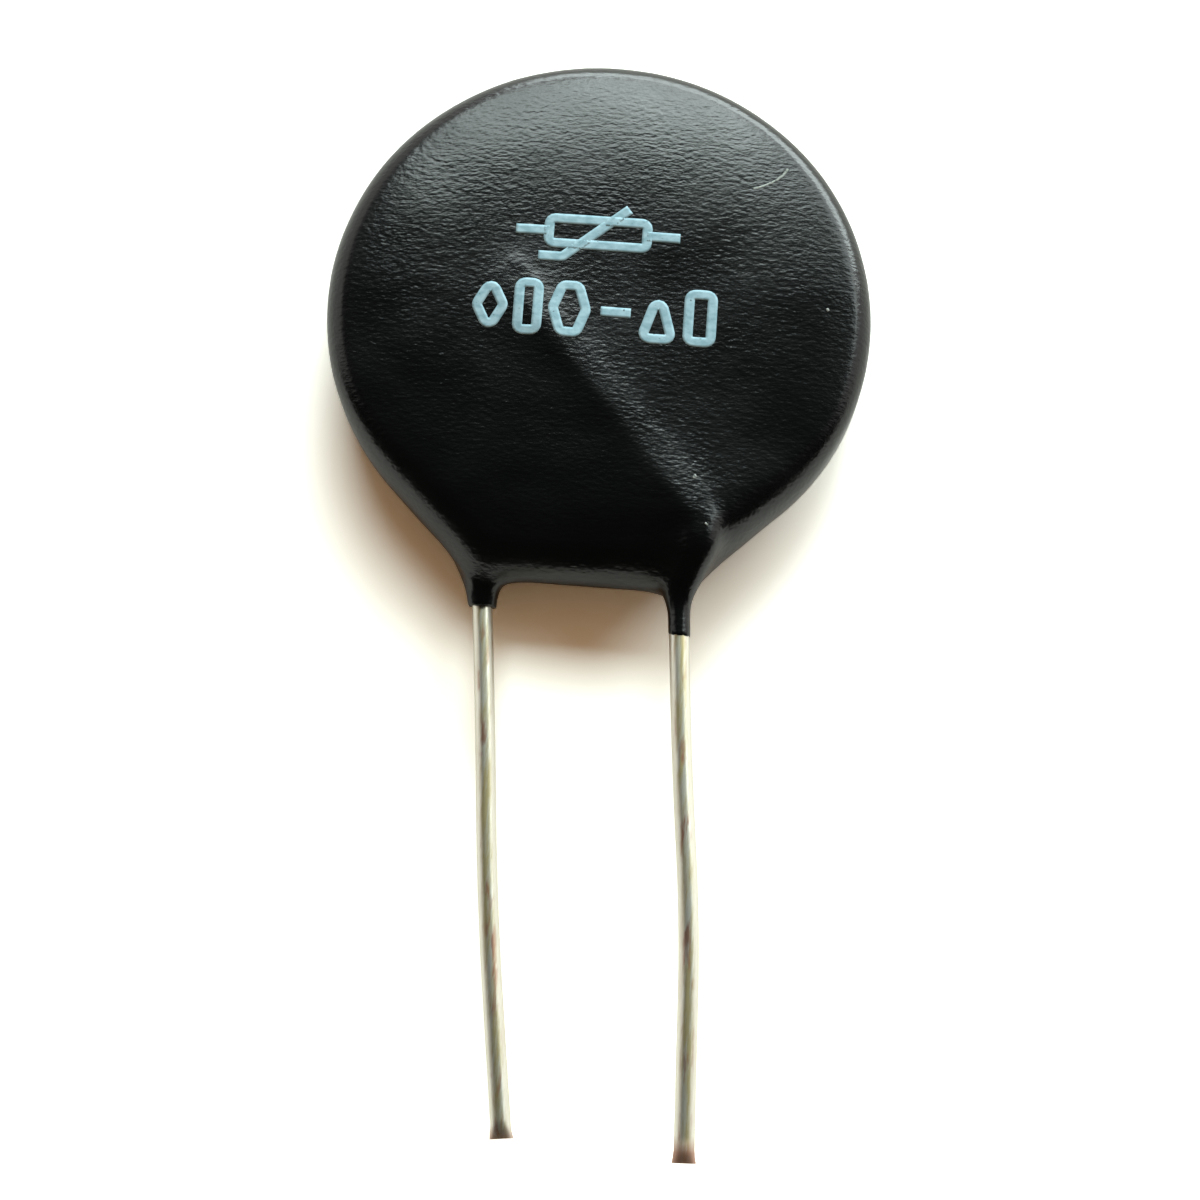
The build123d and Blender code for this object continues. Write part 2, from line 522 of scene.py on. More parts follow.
@dataclass(frozen=True)
class WireCourse:
    """One wire's middle line, from its end on the electrode to its cut tip.

    Places are seen on the wire's own face.
    """

    face: Face
    route: tuple[Place, ...]
    reach: float
    foot_radius: float
    foot_taper: Span
    wire_radius: float = 0.5
    height: float = 2.33
    exit_height: float = 1.0
    end: Place = (-4.2, 1.9)
    bend: Place = (6.1, -10.0)
    edge_crossing: Place = (5.85, -11.6)
    foot_root: Place = (4.9, -13.9)
    bend_radii: tuple[float, ...] = (2.2, 1.8, 2.0)

    def knots(self) -> list[Knot]:
        """The course as rounded corners, two slight arcs and a straight end.

        Returns:
            The knots from the buried end to the tip.
        """
        corners = [Vector((*p, self.height)) for p in (self.end, self.bend, self.edge_crossing)]
        outside = [Vector((*p, self.exit_height)) for p in (self.foot_root, *self.route)]
        line = corners + outside[:2]
        found = [Knot(line[0], line[0], line[0])]

        def join(stop: Vector) -> None:
            """Runs the course straight on to a stop."""
            last = found[-1]
            last.after = last.place.lerp(stop, 1 / 3)
            found.append(Knot(stop, stop.lerp(last.place, 1 / 3), stop))

        for before, corner, after, radius in zip(line, line[1:], line[2:], self.bend_radii):
            inward = (corner - before).normalized()
            outward = (after - corner).normalized()
            turn = inward.angle(outward)
            cut = radius * math.tan(turn / 2)
            handle = 4 / 3 * math.tan(turn / 4) * radius
            start, stop = corner - inward * cut, corner + outward * cut
            join(start)
            found[-1].after = start + inward * handle
            found.append(Knot(stop, stop - outward * handle, stop))
        heading = (outside[1] - outside[0]).normalized()
        join(outside[1])
        for stop in outside[2:]:
            start = found[-1].place
            chord = stop - start
            along = chord.normalized()
            arrival = (2 * heading.dot(along) * along - heading).normalized()
            third = chord.length / 3
            found[-1].after = start + heading * third
            found.append(Knot(stop, stop - arrival * third, stop))
            heading = arrival
        start = found[-1].place
        join(start + heading * ((self.reach + start.y) / -heading.y))
        return found

    def curve(self, name: str) -> bpy.types.Curve:
        """The course as a Bezier curve.

        Args:
            name: The curve's name.

        Returns:
            The curve.
        """
        knots = self.knots()
        curve = bpy.data.curves.new(name, "CURVE")
        curve.dimensions = "3D"
        curve.resolution_u = 24
        spline = curve.splines.new("BEZIER")
        spline.bezier_points.add(len(knots) - 1)
        for point, knot in zip(spline.bezier_points, knots):
            point.handle_left_type = point.handle_right_type = "FREE"
            point.co = self.face.turn(knot.place)
            point.handle_left = self.face.turn(knot.before)
            point.handle_right = self.face.turn(knot.after)
        return curve


FRONT_COURSE = WireCourse(
    face=Face.FRONT,
    route=((5.07, -16.1), (6.07, -26.5), (6.62, -33.7)),
    reach=41.4,
    foot_radius=0.56,
    foot_taper=(-13.4, -15.2),
)
BACK_COURSE = WireCourse(
    face=Face.BACK,
    route=((4.79, -14.9), (3.85, -24.5), (2.76, -34.2)),
    reach=40.8,
    foot_radius=0.74,
    foot_taper=(-12.9, -14.5),
)


# --- Coat ---


@dataclass
class ResinCoat:
    """The dipped coat: a rounded plate over the disc that drapes over both wires.

    Its form is a field of distances, found on a grid of cells and turned into a skin, so that
    the plate, the ridges and the feet run into each other as liquid resin does. A Pair is one
    value over the middle of the face and one at its lower edge. A Span is where along Y
    something starts and where it is complete, but ridge_start is along the wire from its end.
    """

    finish: DippedResin
    courses: tuple[WireCourse, WireCourse] = (FRONT_COURSE, BACK_COURSE)
    half_width: float = 13.7
    top: float = 13.3
    side_radius: float = 13.1
    top_radius: float = 14.1
    flank_angle: float = 46.0
    skirt_reach: float = 13.75
    skirt_round: float = 1.3
    half_thickness: float = 2.85
    crown: float = 0.85
    crown_radius: float = 12.5
    crown_power: float = 3.0
    shoulder: float = 0.08
    shoulder_growth: float = 3.0
    rim_round: Pair = (1.05, 1.9)
    edge_span: Span = (-4.0, -10.0)
    ridge_rise: float = 0.335
    ridge_follow: Pair = (0.4, 0.95)
    ridge_spread: Pair = (1.9, 3.2)
    ridge_crest: float = 0.4
    ridge_shift: Place = (-0.64, -0.55)
    ridge_start: Span = (-2.4, 4.4)
    ridge_end: Span = (-13.6, -10.0)
    sleeve_radius: float = 0.68
    sleeve_least: float = 0.3
    sleeve_span: Span = (-9.0, -12.2)
    lip_depth: float = 0.5
    notches_per_mm: float = 0.9
    lip_round: float = 0.12
    blend: float = 2.6
    blend_least: float = 0.8
    blend_span: Span = (-9.6, -12.8)
    cell: float = 0.15
    cell_height: float = 3.7
    margin: float = 0.5
    foot_margin: float = 0.6
    crease: Point = (0.58, 0.48, 0.55)
    crease_depth: float = 0.007
    swells_per_mm: float = 0.16
    swell_depth: float = 0.05

    def outline(self, form: Form, flat: Any, from_side: Any, length: Any) -> Any:
        """The distance in plan to the rounded outline with its straight flanks and skirt.

        Args:
            form: The coat's form.
            flat: The place in plan, with X always positive.
            from_side: The way there from the side arc's middle.
            length: How long that way is.

        Returns:
            The node that holds the distance, below nothing inside the outline.
        """
        tree = form.tree
        # The wide shoulders and the flatter arc across the top
        middle = (0, self.top - self.top_radius, 0)
        side = add(tree, "Math SUBTRACT", length, self.side_radius)
        top_length = add(tree, "VectorMath DISTANCE", flat, middle)
        crest = add(tree, "Math SUBTRACT", top_length, self.top_radius)
        # Above this line the top arc is the nearer one
        line = (middle[1] / (self.half_width - self.side_radius), 1, 0)
        split = add(tree, "VectorMath DOT_PRODUCT", from_side, line)
        is_top = add(tree, "Math GREATER_THAN", split, 0.0)
        arcs = add(tree, "Mix", Factor=is_top, A=side, B=crest)
        # The straight flanks and the edge between the feet
        flank = math.radians(self.flank_angle)
        out, along = (math.cos(flank), -math.sin(flank), 0), (-math.sin(flank), -math.cos(flank), 0)
        slope = add(tree, "VectorMath DOT_PRODUCT", from_side, out)
        straight = add(tree, "Math SUBTRACT", slope, self.side_radius)
        hem = add(tree, "Math SUBTRACT", -self.skirt_reach, form.way["Y"])
        skirt = add(tree, "Math SMOOTH_MAX", straight, hem, form.given["Skirt Round"])
        past = add(tree, "VectorMath DOT_PRODUCT", from_side, along)
        is_skirt = add(tree, "Math GREATER_THAN", past, 0.0)
        return add(tree, "Mix", Factor=is_skirt, A=arcs, B=skirt)

    def plate(self, form: Form, wires: Sequence[Any]) -> Any:
        """The distance to the plate, rounded over at its rim and lifted over both wires.

        Args:
            form: The coat's form.
            wires: The nodes that hold the wires' middle lines.

        Returns:
            The node that holds the distance, below nothing inside the plate.
        """
        tree, given, way = form.tree, form.given, form.way
        across = add(tree, "VectorMath ABSOLUTE", form.where)
        out = add(tree, "SeparateXYZ", across).outputs
        flat = add(tree, "CombineXYZ", out["X"], way["Y"])
        side = (self.half_width - self.side_radius, 0, 0)
        from_side = add(tree, "VectorMath SUBTRACT", flat, side)
        length = add(tree, "VectorMath LENGTH", from_side)
        outline = self.outline(form, flat, from_side, length)

        # The faces are thickest over the middle, and a soft shoulder leads over into the rim
        share = add(tree, "Math DIVIDE", length, self.crown_radius)
        steep = add(tree, "Math POWER", share, self.crown_power)
        crowned = add(tree, "Math MULTIPLY", steep, given["Crown"])
        nearing = add(tree, "Math POWER", self.shoulder_growth, outline)
        fall = add(tree, "Math MULTIPLY_ADD", nearing, self.shoulder, crowned)
        fallen = add(tree, "Math ADD", fall, out["Z"])

        # The wire stays level, so the ridge stands out more as the face falls away to the rim
        front, back = (self.rise(form, *pair) for pair in zip(self.courses, wires))
        is_front = add(tree, "Math GREATER_THAN", way["Z"], 0.0)
        share_of_rise = add(tree, "Mix", Factor=is_front, A=back, B=front)
        follow = self.widened(form, self.ridge_follow)
        full_rise = add(tree, "Math MULTIPLY_ADD", fall, follow, given["Ridge Rise"])
        rise = add(tree, "Math MULTIPLY", full_rise, share_of_rise)
        height = add(tree, "Math SUBTRACT", fallen, rise)

        rim = self.widened(form, self.rim_round)
        above = add(tree, "Math SUBTRACT", height, self.half_thickness)
        over_face = add(tree, "Math ADD", above, rim)
        over_rim = add(tree, "Math ADD", outline, rim)
        corner = add(tree, "CombineXYZ", over_rim, over_face)
        beyond = add(tree, "VectorMath MAXIMUM", corner, (0, 0, 0))
        outer = add(tree, "VectorMath LENGTH", beyond)
        deepest = add(tree, "Math MAXIMUM", over_rim, over_face)
        inner = add(tree, "Math MINIMUM", deepest, 0.0)
        both = add(tree, "Math ADD", outer, inner)
        return add(tree, "Math SUBTRACT", both, rim)

    def widened(self, form: Form, values: Pair) -> Any:
        """A value that changes on the way down to the disc's lower edge.

        Args:
            form: The coat's form.
            values: The value over the middle and the one near the edge.

        Returns:
            The node that holds the value.
        """
        return add(form.tree, "MapRange", form.way["Y"], *self.edge_span, *values, **EASED)

    def rise(self, form: Form, course: WireCourse, wire: Any) -> Any:
        """The share of its full lift that the face has where it drapes over one wire, as a tent.

        Args:
            form: The coat's form.
            course: The wire's course.
            wire: The node that holds the wire's middle line.

        Returns:
            The node that holds the share, from 0 to 1.
        """
        tree = form.tree
        plan = add(tree, "Transform", wire, Scale=(1, 1, 0))
        below = add(tree, "VectorMath MULTIPLY", form.where, (1, 1, 0))
        # The crest lies a little to the side of the wire that the wet resin sagged towards
        shift = tuple(course.face.turn((*self.ridge_shift, 0)))
        shifted = add(tree, "VectorMath SUBTRACT", below, shift)
        near = add(tree, "Proximity", plan, Sample_Position=shifted, target_element="EDGES")
        # Rounded at the crest, then falling off on each side
        legs = add(tree, "CombineXYZ", near.outputs["Distance"], self.ridge_crest)
        eased = add(tree, "VectorMath LENGTH", legs)
        span = add(tree, "Math ADD", eased, -self.ridge_crest)
        wide = self.widened(form, self.ridge_spread)
        reach = add(tree, "Math DIVIDE", span, wide)
        decay = add(tree, "Math POWER", math.exp(-1), reach)
        # It starts gently over the wire's buried end
        heading = (Vector(course.bend) - Vector(course.end)).normalized()
        start = tuple(course.face.turn((*course.end, 0)))
        ahead = tuple(course.face.turn((*heading, 0)))
        offset = add(tree, "VectorMath SUBTRACT", below, start)
        gone = add(tree, "VectorMath DOT_PRODUCT", offset, ahead)
        begun = add(tree, "MapRange", gone, *self.ridge_start, **EASED)
        # Past the disc's edge the sleeve round the wire takes over
        left = add(tree, "MapRange", form.way["Y"], *self.ridge_end, **EASED)
        held = add(tree, "Math MULTIPLY", begun, left)
        return add(tree, "Math MULTIPLY", held, decay)

    def sleeve(self, form: Form, course: WireCourse, wire: Any) -> Any:
        """The distance to the coat round one wire, down to the open end of its foot.

        Args:
            form: The coat's form.
            course: The wire's course.
            wire: The node that holds the wire's middle line.

        Returns:
            The node that holds the distance.
        """
        tree, given, along = form.tree, form.given, form.way["Y"]
        near = add(tree, "Proximity", wire, target_element="EDGES").outputs["Distance"]
        # Under the face the wire lies in the tent, so the sleeve only starts at its bend
        sizes = (*self.sleeve_span, self.sleeve_least, given["Sleeve Radius"])
        grown = add(tree, "MapRange", along, *sizes, **EASED)
        sizes = (*course.foot_taper, 0.0, course.foot_radius - self.sleeve_radius)
        taper = add(tree, "MapRange", along, *sizes, **EASED)
        radius = add(tree, "Math ADD", grown, taper)
        tube = add(tree, "Math SUBTRACT", near, radius)
        # The open end is a little ragged, where the resin broke off as it ran down
        ragged = add(tree, "TexNoise", form.where, Scale=self.notches_per_mm, Detail=1.0)
        lip = add(tree, "MapRange", ragged, 0.3, 0.7, -0.2, 0.2)
        open_end = course.route[0][1]
        lip_y = add(tree, "Math MULTIPLY_ADD", lip, given["Ragged Lip"], open_end)
        past_lip = add(tree, "Math SUBTRACT", lip_y, along)
        return add(tree, "Math SMOOTH_MAX", tube, past_lip, self.lip_round)

    def skin(self, form: Form) -> Any:
        """Fills the coat's field and turns it into a smooth skin.

        Args:
            form: The coat's form.

        Returns:
            The node that holds the skin.
        """
        tree, given = form.tree, form.given
        wires = []
        for label in WIRE_INPUTS:
            wire = add(tree, "ObjectInfo", given[label], transform_space="ORIGINAL")
            wires.append(add(tree, "CurveToMesh", wire.outputs["Geometry"]))
        field = self.plate(form, wires)
        # The feet run out of the skirt in wide arches, and nothing swells the face itself
        sizes = (*self.blend_span, self.blend_least, given["Blend"])
        blend = add(tree, "MapRange", form.way["Y"], *sizes, **EASED)
        for course, wire in zip(self.courses, wires):
            sleeve = self.sleeve(form, course, wire)
            field = add(tree, "Math SMOOTH_MIN", field, sleeve, blend)
        filled = add(tree, "Math MULTIPLY", field, -1.0)
        low, high = self.reach_box()
        counts = {f"Resolution_{axis}": given[f"Cells {axis}"] for axis in "XYZ"}
        cloud = add(tree, "VolumeCube", filled, Background=-1.0, Min=low, Max=high, **counts)
        skin = add(tree, "VolumeToMesh", cloud, Threshold=0.0, Adaptivity=0.0)
        return add(tree, "SetShadeSmooth", skin)

    def wrinkled(self, form: Form, skin: Any) -> Any:
        """Creases that lie across the leads, on slow swells where the resin sagged.

        Args:
            form: The coat's form.
            skin: The node that holds the smooth skin.

        Returns:
            The node that holds the wrinkled skin.
        """
        tree, given = form.tree, form.given
        per_cell = tuple(1 / size for size in self.crease)
        stretched = add(tree, "VectorMath MULTIPLY", form.where, per_cell)
        creases = add(tree, "TexNoise", stretched, Scale=1.0, Detail=1.0, Roughness=0.5)
        swells = add(tree, "TexNoise", form.where, Scale=self.swells_per_mm, Detail=1.0)
        fine, slow = (
            add(tree, "MapRange", noise, 0.25, 0.75, -1.0, 0.0) for noise in (creases, swells)
        )
        crease_lift = add(tree, "Math MULTIPLY", fine, given["Crease Depth"])
        lift = add(tree, "Math MULTIPLY_ADD", slow, given["Swell Depth"], crease_lift)
        moved = add(tree, "VectorMath SCALE", add(tree, "InputNormal"), Scale=lift)
        return add(tree, "SetPosition", skin, Offset=moved)

    def reach_box(self) -> tuple[Point, Point]:
        """The lowest and highest corner of the grid."""
        lowest = min(course.route[0][1] for course in self.courses)
        return (
            (-self.half_width - self.margin, lowest - self.foot_margin, -self.cell_height),
            (self.half_width + self.margin, self.top + self.margin, self.cell_height),
        )

    def build(self) -> bpy.types.Object:
        """Makes the coat and lets it stand for its CAD node.

        Returns:
            The coat.
        """
        wires = [put(f"course_{course.face.name}", course.curve("course")) for course in self.courses]
        low, high = self.reach_box()
        cells = {f"Cells {n}": round((b - a) / self.cell) for n, a, b in zip("XYZ", low, high)}
        form = Form(
            "resin_coat",
            **dict(zip(WIRE_INPUTS, wires)),
            **cells,
            Crown=self.crown,
            Skirt_Round=self.skirt_round,
            Ridge_Rise=self.ridge_rise,
            Sleeve_Radius=self.sleeve_radius,
            Blend=self.blend,
            Ragged_Lip=self.lip_depth,
            Crease_Depth=self.crease_depth,
            Swell_Depth=self.swell_depth,
        )
        coat = form.placed(self.wrinkled(form, self.skin(form)))
        piece = form.grow(coat, self.finish.material())
        for wire in wires:
            bpy.data.objects.remove(wire)
        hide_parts("coating")
        return piece


# --- Leads ---


@dataclass
class Lead:
    """One tinned lead: round wire along its course, with a tip that the cutter squeezed."""

    name: str
    node: str
    course: WireCourse
    finish: TinnedCopper
    ring_spacing: float = 0.3
    ring_points: int = 28
    waver: float = 0.03
    wavers_per_mm: float = 0.14
    waver_span: Span = (-16.0, -20.0)
    pinch_length: float = 0.5
    pinch_height: float = 0.55
    pinch_width: float = 1.16

    def wavy(self, form: Form) -> Any:
        """The wire's middle line, very slightly wavy in its free part from handling.

        Args:
            form: The lead's form.

        Returns:
            The node that holds the line.
        """
        tree, given = form.tree, form.given
        spacing = given["Ring Spacing"]
        rings = add(tree, "ResampleCurve", given["Geometry"], Length=spacing, mode="LENGTH")
        drift = add(tree, "TexNoise", form.where, Scale=self.wavers_per_mm, Detail=1.0)
        centred = add(tree, "VectorMath SUBTRACT", drift.outputs["Color"], (0.5, 0.5, 0.5))
        free = add(tree, "MapRange", form.way["Y"], *self.waver_span)
        share = add(tree, "Math MULTIPLY", free, given["Waver"])
        shift = add(tree, "VectorMath SCALE", centred, Scale=share)
        return add(tree, "SetPosition", rings, Offset=shift)

    def build(self) -> None:
        """Sweeps the wire, shapes its tip and lets it stand for its CAD node."""
        form = Form(
            self.name,
            Wire_Radius=self.course.wire_radius,
            Ring_Spacing=self.ring_spacing,
            Ring_Points=self.ring_points,
            Waver=self.waver,
            Tip_Y=-self.course.reach,
            Pinch_Length=self.pinch_length,
            Pinch_Height=self.pinch_height,
            Pinch_Width=self.pinch_width,
        )
        tree, given = form.tree, form.given
        spine = add(tree, "CaptureAttribute", self.wavy(form), domain="POINT")
        spine.capture_items.new("VECTOR", "Spine")
        feed(spine, {"Spine": form.where})
        radius = given["Wire Radius"]
        ring = add(tree, "CurvePrimitiveCircle", given["Ring Points"], Radius=radius, mode="RADIUS")
        swept = add(tree, "CurveToMesh", spine, Profile_Curve=ring, Fill_Caps=True)
        # The cutter squeezes the tip flat and wide, most of all right at the cut
        tip = given["Tip Y"]
        start = add(tree, "Math ADD", tip, given["Pinch Length"])
        at_tip = add(tree, "MapRange", form.way["Y"], start, tip, **EASED)
        wide = add(tree, "MapRange", at_tip, To_Min=1.0, To_Max=given["Pinch Width"])
        flat = add(tree, "MapRange", at_tip, To_Min=1.0, To_Max=given["Pinch Height"])
        squeeze = add(tree, "CombineXYZ", wide, 1.0, flat)
        middle = spine.outputs["Spine"]
        off = add(tree, "VectorMath SUBTRACT", form.where, middle)
        squeezed = add(tree, "VectorMath MULTIPLY_ADD", off, squeeze, middle)
        tipped = add(tree, "SetPosition", swept, Position=squeezed)
        smooth = form.placed(add(tree, "SetShadeSmooth", tipped))
        piece = form.grow(smooth, self.finish.material(), self.course.curve(self.name))
        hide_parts(self.node)


# --- Printed marks and scuffs ---


class Shape(Enum):
    """Plain outlines for the printed marks: the corners of each, one unit wide and high."""

    SQUARE = ((-0.5, -0.5), (0.5, -0.5), (0.5, 0.5), (-0.5, 0.5))
    DIAMOND = ((0.0, -0.5), (0.5, 0.0), (0.0, 0.5), (-0.5, 0.0))
    PEAK = ((-0.5, -0.5), (0.5, -0.5), (0.0, 0.5))
    HEXAGON = ((-0.5, 0.0), (-0.25, -0.5), (0.25, -0.5), (0.5, 0.0), (0.25, 0.5), (-0.25, 0.5))


@dataclass(frozen=True)
class Stroke:
    """One drawn line on the front face."""

    points: tuple[Place, ...]
    closed: bool = False


def outline(shape: Shape, middle: Place, width: float, height: float) -> Stroke:
    """A closed stroke round one shape.

    Args:
        shape: Which outline.
        middle: Its middle.
        width: How wide it is to the middle of its line.
        height: How high it is, likewise.

    Returns:
        The stroke.
    """
    corners = tuple((middle[0] + x * width, middle[1] + y * height) for x, y in shape.value)
    return Stroke(corners, closed=True)


@dataclass
class SurfaceStrokes:
    """Strokes of one width laid on the coat as a thin film that follows its skin."""

    name: str
    strokes: Sequence[Stroke]
    material: bpy.types.Material
    width: float = 0.5
    step: float = 0.12
    film: float = 0.02
    sink: float = 0.05
    corner_share: float = 0.55
    drop: float = 10.0

    def curve(self) -> bpy.types.Curve:
        """The strokes as poly lines.

        Returns:
            The curve.
        """
        curve = bpy.data.curves.new(self.name, "CURVE")
        curve.dimensions = "3D"
        for stroke in self.strokes:
            spline = curve.splines.new("POLY")
            spline.points.add(len(stroke.points) - 1)
            spline.use_cyclic_u = stroke.closed
            for point, place in zip(spline.points, stroke.points):
                point.co = (*place, 0.0, 1.0)
        return curve

    def ribbons(self, form: Form) -> Any:
        """Level ribbons along the strokes, with rounded corners.

        Args:
            form: The strokes' form.

        Returns:
            The node that holds the ribbons.
        """
        tree, given = form.tree, form.given
        round_corner = {"Radius": given["Corner"], "Limit_Radius": True, "Count": 4}
        rounded = add(tree, "FilletCurve", given["Geometry"], mode="POLY", **round_corner)
        cut = add(tree, "ResampleCurve", rounded, Length=given["Step"], mode="LENGTH")
        sides = []
        for share in (-0.5, 0.5):
            half = add(tree, "Math MULTIPLY", given["Width"], share)
            sides.append(add(tree, "CombineXYZ", half))
        edge = add(tree, "CurvePrimitiveLine", *sides, mode="POINTS")
        profile = add(tree, "ResampleCurve", edge, Count=given["Across"])
        upright = add(tree, "SetCurveNormal", cut, mode="Z_UP")
        return add(tree, "CurveToMesh", upright, Profile_Curve=profile)

    def landed(self, form: Form, ribbons: Any) -> Any:
        """Ribbons dropped on the coat, with their faces up.

        Args:
            form: The strokes' form.
            ribbons: The node that holds them over the coat.

        Returns:
            The node that holds them on the coat.
        """
        tree, given = form.tree, form.given
        coat = add(tree, "ObjectInfo", given["Coat"], transform_space="ORIGINAL")
        above = add(tree, "VectorMath ADD", form.where, (0, 0, self.drop * MM))
        ray = {"Ray_Direction": (0, 0, -1), "Ray_Length": 2 * self.drop * MM}
        hit = add(tree, "Raycast", coat.outputs["Geometry"], Source_Position=above, **ray)
        film = add(tree, "CombineXYZ", Z=given["Film"])
        spot = hit.outputs["Hit Position"]
        landed = add(tree, "SetPosition", ribbons, Position=spot, Offset=film)
        rising = add(tree, "SeparateXYZ", add(tree, "InputNormal")).outputs["Z"]
        upside_down = add(tree, "Math LESS_THAN", rising, 0.0)
        return add(tree, "FlipFaces", landed, Selection=upside_down)

    def build(self, coat: bpy.types.Object) -> None:
        """Lays the strokes on the coat and gives them a thickness.

        Args:
            coat: The finished coat.
        """
        form = Form(
            self.name,
            Coat=coat,
            Width=self.width,
            Across=round(self.width / self.step) + 1,
            Step=self.step,
            Corner=self.width * self.corner_share,
            Film=self.film * MM,
            Sink=self.sink * MM,
        )
        tree = form.tree
        top = self.landed(form, form.placed(self.ribbons(form)))
        down = add(tree, "Math MULTIPLY", form.given["Sink"], -1.0)
        dropped = add(tree, "CombineXYZ", Z=down)
        under = add(tree, "ExtrudeMesh", top, Offset=dropped, Offset_Scale=1.0, Individual=False)
        closed = add(tree, "JoinGeometry", add(tree, "FlipFaces", under))
        feed(closed, {0: top})
        merged = add(tree, "MergeByDistance", closed, Distance=0.001 * MM)
        form.grow(merged, self.material, self.curve())


@dataclass
class PrintedMarks:
    """Two rows of plain printed shapes: a circuit symbol over a row of outlines and a dash."""

    finish: PrintingInk
    line_width: float = 0.5
    symbol_middle: Place = (-0.3, 3.72)
    symbol_size: Place = (4.9, 1.3)
    lead_length: float = 1.65
    slash_height: float = 2.7
    row_y: float = -0.35
    row_height: float = 2.45

    def symbol(self) -> list[Stroke]:
        """The drawing sign of a thermistor: a box on a line, crossed by a slanted stroke.

        Returns:
            Its strokes.
        """
        x, y = self.symbol_middle
        width, height = self.symbol_size
        side, other = x + width / 2, x - width / 2
        rise = self.slash_height / 2
        return [
            outline(Shape.SQUARE, self.symbol_middle, width, height),
            Stroke(((side, y), (side + self.lead_length, y))),
            Stroke(((other - self.lead_length, y), (other, y))),
            Stroke(((x - 2.9, y - rise), (x - 1.7, y - rise), (x + 1.5, y + rise))),
        ]

    def row(self) -> list[Stroke]:
        """The lower row: three outlines, a dash and two outlines.

        Returns:
            Its strokes.
        """
        y, high = self.row_y, self.row_height
        return [
            outline(Shape.DIAMOND, (-5.4, y), 1.35, high + 0.1),
            outline(Shape.SQUARE, (-3.5, y), 0.95, high),
            outline(Shape.HEXAGON, (-1.45, y), 1.65, high),
            Stroke(((0.1, y), (1.6, y))),
            outline(Shape.PEAK, (2.95, y), 1.5, high),
            outline(Shape.SQUARE, (5.05, y), 1.15, high),
        ]

    def build(self, coat: bpy.types.Object) -> None:
        """Prints both rows on the coat as one piece.

        Args:
            coat: The finished coat.
        """
        strokes = [*self.symbol(), *self.row()]
        ink = self.finish.material()
        SurfaceStrokes("printed_marks", strokes, ink, self.line_width).build(coat)


@dataclass
class Scuffs:
    """Small pale marks on the coat: one hair-fine scratch from handling and a few pale flecks."""

    finish: ScuffedResin
    hair_width: float = 0.1
    fleck_width: float = 0.16
    film: float = 0.012
    sink: float = 0.03
    scratch: tuple[Place, ...] = ((7.3, 6.72), (7.9, 6.98), (8.4, 7.3), (8.75, 7.65), (8.97, 8.02))
    # Three short pale strokes on the coat, two of them on the ridge near its bend
    chips: tuple[Stroke, ...] = (
        Stroke(((5.2, -8.52), (5.35, -8.38))),
        Stroke(((5.98, -10.86), (6.03, -10.78))),
        Stroke(((11.3, 0.68), (11.42, 0.74))),
    )

    def build(self, coat: bpy.types.Object) -> None:
        """Puts the scratch and the pale flecks on the coat.

        Args:
            coat: The finished coat.
        """
        dust = self.finish.material()
        thin = {"film": self.film, "sink": self.sink}
        scratch = [Stroke(self.scratch)]
        SurfaceStrokes("scratch", scratch, dust, self.hair_width, step=0.05, **thin).build(coat)
        SurfaceStrokes("chips", self.chips, dust, self.fleck_width, step=0.06, **thin).build(coat)


# --- Pieces sealed in the coat ---


@dataclass
class SealedPieces:
    """The ceramic disc with its electrodes and solder, which keep their CAD form."""

    ceramic: SinteredCeramic
    silver: FiredSilver
    solder: TinSolder

    def dress(self) -> None:
        """Gives each carried-over CAD node its finish."""
        pieces = {
            self.ceramic: ("ceramic_disc",),
            self.silver: ("front_electrode", "back_electrode"),
            self.solder: ("front_solder", "back_solder"),
        }
        for finish, names in pieces.items():
            material = finish.material()
            for name in names:
                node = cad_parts[name]
                node.data.materials.clear()
                node.data.materials.append(material)
                log.info("%s: %s", name, material.name)


# --- Studio ---


@dataclass(frozen=True)
class Softbox:
    """One large soft lamp: where it stands, how large it is and how bright its face is.

    Angles are in degrees. The size and the distance are in metres.
    """

    name: str
    azimuth: float
    zenith: float
    size: tuple[float, float]
    radiance: float
    colour: str = "EFFEFC"
    distance: float = 1.0

    def build(self) -> None:
        """Makes the lamp, turned to face the middle of the disc."""
        azimuth, zenith = math.radians(self.azimuth), math.radians(self.zenith)
        level = Vector((math.sin(azimuth), math.cos(azimuth), 0)) * math.sin(zenith)
        way = level + Vector((0, 0, math.cos(zenith)))
        light = bpy.data.lights.new(self.name, "AREA")
        light.shape = "RECTANGLE"
        light.size, light.size_y = self.size
        light.energy = self.radiance * math.pi * math.prod(self.size)
        light.color = linear(self.colour)[:3]
        lamp = put(self.name, light)
        lamp.location = disc_middle() + way * self.distance
        lamp.rotation_mode = "QUATERNION"
        lamp.rotation_quaternion = way.to_track_quat("Z", "Y")
        log.info("lamp: %s", self.name)


